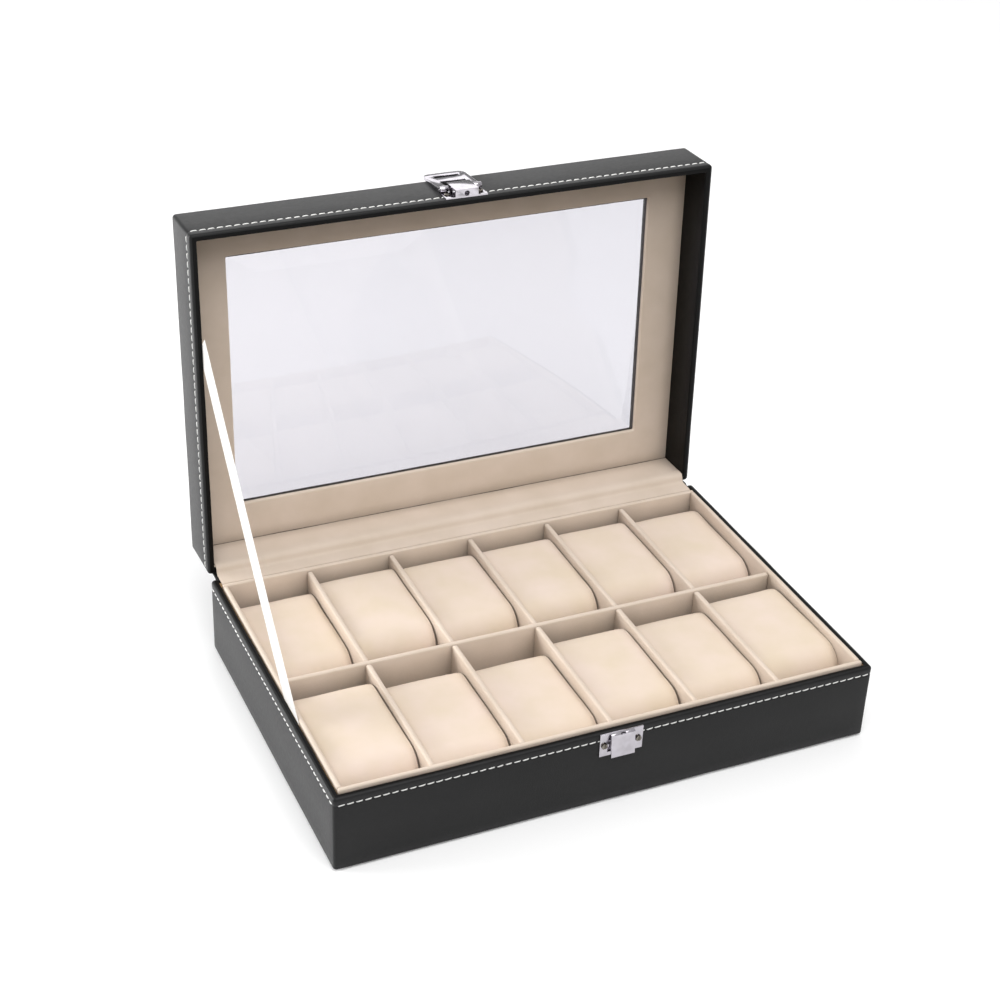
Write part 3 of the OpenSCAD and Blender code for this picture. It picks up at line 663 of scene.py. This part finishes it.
def buildPillow(index, nodeName):
    look = pillowShape
    back, lift, turn = pillowSeat[index]
    low, high = boxOf(nodeName)
    middle = (low + high) / 2
    halfX = (high.x - low.x) / 2 - look["sideGap"]
    halfY, halfZ = (high.y - low.y) / 2, (high.z - low.z) / 2
    around, r = 96, look["sideRound"]
    steps = [-1 + 2 * i / 14 for i in range(15)]
    stations = [(-halfX + r - r * math.cos(math.radians(a)), r - r * math.sin(math.radians(a)))
                for a in (8, 25, 45, 65)]
    stations += [(-halfX + r + 0.15 * mm, look["seam"])]
    stations += [(s * (halfX - r - 0.6 * mm), 0) for s in steps]
    stations += [(halfX - r - 0.15 * mm, look["seam"])]
    stations += [(halfX - r + r * math.cos(math.radians(a)), r - r * math.sin(math.radians(a)))
                 for a in (65, 45, 25, 8)]
    bm = bmesh.new()
    rings = []
    for x, inset in stations:
        crown = look["crown"] * (1 - (x / halfX) ** 2)
        ring = []
        for i in range(around):
            y, z = sectionPoint(i / around, halfY - inset, halfZ - inset,
                                look["edgeRound"] - inset * 0.6)
            z += crown * (1 if z > 0 else 0) * (1 - (y / halfY) ** 2)
            ring.append(bm.verts.new((x, y, z)))
        rings.append(ring)
    for a, b in zip(rings, rings[1:]):
        bridgeRings(bm, a, b)
    for ring, sign in ((rings[0], -1), (rings[-1], 1)):
        previous = ring
        for share in (0.8, 0.5, 0.2):
            inner = []
            for v in ring:
                p = v.co.copy()
                p.y *= share
                p.z *= share
                p.x = ring[0].co.x + sign * look["endBulge"] * (1 - share ** 2)
                inner.append(bm.verts.new(p))
            bridgeRings(bm, previous, inner)
            previous = inner
        bm.faces.new(previous)
    place = Matrix.Translation(middle + Vector((0, back * mm, lift * mm)))
    place = place @ Matrix.Rotation(math.radians(turn), 4, "Z")
    piece = finishPiece("pillow%02d" % index, bm, pillowCloth, None, [nodeName], place)
    ripple(piece, look["ripple"], 38, 40 + index)
    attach(piece, "cushion_%02d" % index)


for i in range(1, 13):
    buildPillow(i, "pillow_%02d" % i)
print("pillows filled")


# window: velvet frame, lining of the lid's back wall, glass

windowLook = {"roll": 1.1 * mm, "outerRoll": 0.25 * mm, "openingRound": 0.9 * mm,
              "leftTrim": 2 * mm, "ripple": 0.1 * mm}


def buildWindow():
    look = windowLook
    low, high = boxOf("window_velvet_frame", openToShut)
    points = [openToShut @ v.co for v in nodes["window_velvet_frame"].data.vertices]
    inner = [p for p in points if low.x + 5 * mm < p.x < high.x - 5 * mm]
    hole = (min(p.x for p in inner), max(p.x for p in inner),
            min(p.y for p in inner), max(p.y for p in inner))
    hole = (hole[0] - look["leftTrim"], *hole[1:])
    outer = (low.x, high.x, low.y, high.y + 0.15 * mm)
    r, o = look["roll"], look["outerRoll"]
    shape = [(0, 0, high.z), (0, 0, low.z + o), (0, o * 0.3, low.z + o * 0.3), (0, o, low.z)]
    shape += [(0, 8 * mm, low.z), (1, -8 * mm, low.z)]
    shape += [(1, -r + r * math.sin(math.radians(a)), low.z + r - r * math.cos(math.radians(a)))
              for a in (0, 25, 50, 70, 90)]
    shape += [(1, 0, high.z)]
    rings = []
    for which, inset, z in shape:
        box = outer if which == 0 else hole
        x0, x1, y0, y1 = box[0] + inset, box[1] - inset, box[2] + inset, box[3] - inset
        radius = 0.5 * mm if which == 0 else look["openingRound"] + max(0, -inset) * 0.5
        path = rectanglePath(x0, x1, y0, y1, radius, 60, 40)
        rings.append([Vector((x, y, z)) for x, y in path])
    piece = finishPiece("windowVelvetFrame", loftRings(rings), velvet, "lid",
                        ["window_velvet_frame"], shutToOpen)
    ripple(piece, look["ripple"], 50, 60)
    low, high = boxOf("lid_back_velvet", openToShut)
    bm = subdivideLong(roundedBlock(low, high, 0.2 * mm, 2))
    piece = finishPiece("lidBackVelvet", bm, velvet, "lid", ["lid_back_velvet"], shutToOpen)
    ripple(piece, look["ripple"], 50, 61)
    bevelledCopy("glass_pane", "glassPane", glass, "lid", 0.2 * mm)


buildWindow()
print("window set")


# hinge cloth and stay ribbon, which bend between base and lid

def stripAcross(name, section, x0, x1, thickness, material, nodeName, count, wave, seed):
    # a thin strip along X with the given (y, z) section
    bm = bmesh.new()
    normals = []
    for i, (y, z) in enumerate(section):
        a = section[max(i - 1, 0)]
        b = section[min(i + 1, len(section) - 1)]
        t = Vector((0, b[0] - a[0], b[1] - a[1])).normalized()
        normals.append(Vector((0, -t.z, t.y)))
    shift = Vector((seed * 3.3, seed * 1.7, 0))
    faces = []
    for side in (0, 1):
        grid = []
        for k in range(count + 1):
            x = x0 + (x1 - x0) * k / count
            row = []
            for (y, z), n in zip(section, normals):
                p = Vector((x, y, z))
                p += n * wave * noise.noise(p * 60 + shift)
                p += n * thickness * side
                row.append(bm.verts.new(p))
            grid.append(row)
        faces.append(grid)
    lower, upper = faces
    m = len(section) - 1
    for k in range(count):
        for i in range(m):
            bm.faces.new((upper[k][i], upper[k + 1][i], upper[k + 1][i + 1], upper[k][i + 1]))
            bm.faces.new((lower[k][i], lower[k][i + 1], lower[k + 1][i + 1], lower[k + 1][i]))
        bm.faces.new((upper[k][0], lower[k][0], lower[k + 1][0], upper[k + 1][0]))
        bm.faces.new((upper[k][m], upper[k + 1][m], lower[k + 1][m], lower[k][m]))
    for k in (0, count):
        for i in range(m):
            bm.faces.new((upper[k][i], upper[k][i + 1], lower[k][i + 1], lower[k][i]))
    return finishPiece(name, bm, material, None, [nodeName])


hingeLook = {"cloth": 0.5 * mm, "spine": 0.7 * mm, "wave": 0.15 * mm, "slit": 1.5 * mm}


def buildHinge():
    look = hingeLook
    landLow, landHigh = boxOf("hinge_velvet")
    shelf = boxOf("lid_back_velvet")
    backY, topZ = boxOf("base_leather_wrap")[1].yz
    shelfZ = shelf[1].z
    stepY = hingeAt.y + (topZ + 0.3 * mm - hingeAt.z)
    z0 = topZ + 0.1 * mm
    edge = landLow.y + look["slit"]
    section = [(edge, z0 - 0.9 * mm), (edge + 0.4 * mm, z0 - 0.2 * mm), (edge + 1.2 * mm, z0),
               (landLow.y + 4 * mm, z0), (stepY - 5 * mm, z0),
               (stepY - 2.6 * mm, z0 + 0.1 * mm), (stepY - 1.5 * mm, z0 + 0.6 * mm),
               (stepY - 0.9 * mm, z0 + 1.6 * mm), (stepY - 0.6 * mm, z0 + 2.8 * mm),
               (stepY - 0.1 * mm, z0 + 3.8 * mm), (stepY + 0.9 * mm, shelfZ - 0.15 * mm),
               (stepY + 2.2 * mm, shelfZ + 0.1 * mm), (stepY + 4.5 * mm, shelfZ + 0.05 * mm)]
    piece = stripAcross("hingeVelvet", section, landLow.x, landHigh.x, look["cloth"], velvet,
                        "hinge_velvet", 70, look["wave"], 3)
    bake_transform(piece)
    low, high = boxOf("hinge_spine")
    r = hingeAt.y - backY - 0.1 * mm
    underZ = hingeAt.z + (hingeAt.y - backY)
    section = [(backY + 0.05 * mm, low.z), (backY + 0.05 * mm, hingeAt.z - 4 * mm),
               (backY + 0.05 * mm, hingeAt.z)]
    section += arcPoints(hingeAt.y, hingeAt.z, r, 165, 90, 5)
    drop = math.tan(shutTurn - math.radians(90))
    for y in (2.5, 6, 10, 14):
        section.append((hingeAt.y + y * mm, underZ - 0.1 * mm - y * mm * drop))
    piece = stripAcross("hingeSpine", section, low.x, high.x, -look["spine"], leather,
                        "hinge_spine", 70, 0.0, 4)
    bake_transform(piece)


ribbonLook = {"width": 16 * mm, "thickness": 0.18 * mm, "inward": 0.06 * mm,
              "sag": 1.2 * mm, "baseEnd": 9 * mm, "lidEnd": 12 * mm}


def buildRibbon():
    look = ribbonLook
    points = [v.co for v in nodes["stay_ribbon"].data.vertices]
    low, high = boxOf("stay_ribbon")
    x = (low.x + high.x) / 2 - look["inward"]
    # the strip's four corners give its two ends
    ordered = sorted(points, key=lambda p: p.y + p.z)
    startEnd = sum((p for p in ordered[:4]), Vector()) / 4
    stopEnd = sum((p for p in ordered[-4:]), Vector()) / 4
    run = Vector((0, stopEnd.y - startEnd.y, stopEnd.z - startEnd.z))
    length = run.length
    along = run / length
    across = Vector((0, -along.z, along.y))
    count = 60
    half = look["width"] / 2
    bm = bmesh.new()
    sides = []
    for side in (-0.5, 0.5):
        rows = []
        for k in range(count + 1):
            t = k / count
            centre = Vector((x, startEnd.y, startEnd.z)) + along * length * t
            centre -= across * look["sag"] * math.sin(math.pi * t)
            row = []
            for s in (-1, -0.5, 0, 0.5, 1):
                p = centre + across * half * s
                p.x += side * look["thickness"]
                row.append(bm.verts.new(p))
            rows.append(row)
        sides.append(rows)
    lower, upper = sides
    for k in range(count):
        for i in range(4):
            bm.faces.new((upper[k][i], upper[k + 1][i], upper[k + 1][i + 1], upper[k][i + 1]))
            bm.faces.new((lower[k][i], lower[k][i + 1], lower[k + 1][i + 1], lower[k + 1][i]))
        for i in (0, 4):
            bm.faces.new((upper[k][i], lower[k][i], lower[k + 1][i], upper[k + 1][i]))
    for k in (0, count):
        for i in range(4):
            bm.faces.new((upper[k][i], upper[k][i + 1], lower[k][i + 1], lower[k][i]))
    piece = finishPiece("stayRibbon", bm, satin, None, ["stay_ribbon"])
    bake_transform(piece)


buildHinge()
buildRibbon()
print("hinge cloth and ribbon hung")


# clasp: the CAD shapes with their edges broken

for nodeName, name, body, width in (
        ("keeper_plate", "keeperPlate", "base", 0.18 * mm),
        ("keeper_screws", "keeperScrews", "base", 0.15 * mm),
        ("clasp_plate", "claspPlate", "lid", 0.18 * mm),
        ("clasp_screws", "claspScrews", "lid", 0.15 * mm),
        ("clasp_pin", "claspPin", "lid", 0.15 * mm),
        ("clasp_flap", "claspFlap", "flap", 0.35 * mm)):
    bevelledCopy(nodeName, name, screwNickel if "screws" in nodeName else nickel, body, width)
print("clasp made")


# hidden boards and felt keep their CAD shape

for nodeName, piece in nodes.items():
    if piece.hide_render:
        continue
    piece.data.materials.clear()
    piece.data.materials.append(felt if nodeName == "base_felt" else board)


# floor, light and camera

stageLook = {"floor": "#f6f6f6", "floorLight": "#f7f7f7", "floorGlow": 0.12, "floorSize": 12,
             "sky": 0.66, "ground": 0.12}
# where each soft lamp hangs, what it points at, its width (m) and its power (W)
lampLook = {"topLamp": ((0, -0.75, 1.7), (0, 0.05, 0.05), 1.5, 18.8),
            "backLamp": ((0.7, 2.2, 1.5), (0, 0.1, 0.1), 1.6, 8),
            "sideLamp": ((-1.8, 0.9, 0.38), (0, 0.1, 0.1), 1.2, 48),
            "frontLamp": ((0.2, -1.8, 0.5), (0, 0, 0.15), 1.2, 2.5)}


def areaLamp(name, at, towards, size, power):
    data = bpy.data.lights.new(name, "AREA")
    data.shape = "DISK"
    data.size = size
    data.energy = power
    lamp = bpy.data.objects.new(name, data)
    bpy.context.scene.collection.objects.link(lamp)
    lamp.location = at
    lamp.rotation_euler = (Vector(towards) - Vector(at)).to_track_quat("-Z", "Y").to_euler()


def buildStage():
    look = stageLook
    material, tree, output, place = newMaterial("paleFloor")
    tone = addNode(tree, "ShaderNodeTexNoise", {"Vector": place, "Scale": 3})
    colour = rampOf(tree, tone.outputs["Fac"], [(0.4, look["floor"]),
                    (0.6, look["floorLight"])])
    surface = addNode(tree, "ShaderNodeBsdfPrincipled", {"Base Color": colour,
                      "Roughness": 0.9, "Specular IOR Level": 0.1,
                      "Emission Color": (1, 1, 1, 1), "Emission Strength": look["floorGlow"]})
    tree.links.new(surface.outputs[0], output.inputs["Surface"])
    bm = bmesh.new()
    bmesh.ops.create_grid(bm, x_segments=1, y_segments=1, size=look["floorSize"])
    mesh = bpy.data.meshes.new("floor")
    bm.to_mesh(mesh)
    bm.free()
    floor = bpy.data.objects.new("floor", mesh)
    floor.location.z = -0.1 * mm
    floor.visible_diffuse = False  # the paper sweep stays out of the light that fills the box
    mesh.materials.append(material)
    bpy.context.scene.collection.objects.link(floor)
    world = bpy.data.worlds.new("studio")
    bpy.context.scene.world = world
    world.use_nodes = True
    sky = world.node_tree
    sky.nodes.clear()
    way = addNode(sky, "ShaderNodeTexCoord").outputs["Generated"]
    parts = addNode(sky, "ShaderNodeSeparateXYZ", {0: way})
    rise = addNode(sky, "ShaderNodeMapRange", {"Value": parts.outputs["Z"], "From Min": -0.15,
                   "From Max": 0.6, "To Min": look["ground"], "To Max": look["sky"]})
    light = addNode(sky, "ShaderNodeBackground", {"Color": (1, 1, 1, 1),
                    "Strength": rise.outputs[0]})
    addNode(sky, "ShaderNodeOutputWorld", {"Surface": light.outputs[0]})
    for name, (at, towards, size, power) in lampLook.items():
        areaLamp(name, at, towards, size, power)


cameraLook = {"at": (-0.3890, -0.7838, 0.6502), "lens": 71.14,
              "right": (0.91500, -0.40174, 0.03707), "back": (-0.3615, -0.7755, 0.5177)}


def buildCamera():
    look = cameraLook
    data = bpy.data.cameras.new("camera")
    data.lens = look["lens"]
    data.sensor_width = 36
    data.clip_start = 0.02
    camera = bpy.data.objects.new("camera", data)
    bpy.context.scene.collection.objects.link(camera)
    right = Vector(look["right"]).normalized()
    back = Vector(look["back"])
    back = (back - right * back.dot(right)).normalized()
    up = back.cross(right)
    camera.matrix_world = Matrix(((right.x, up.x, back.x, look["at"][0]),
                                  (right.y, up.y, back.y, look["at"][1]),
                                  (right.z, up.z, back.z, look["at"][2]), (0, 0, 0, 1)))
    bpy.context.scene.camera = camera


buildStage()
buildCamera()
bpy.context.scene.view_settings.view_transform = "Standard"
print("stage lit")
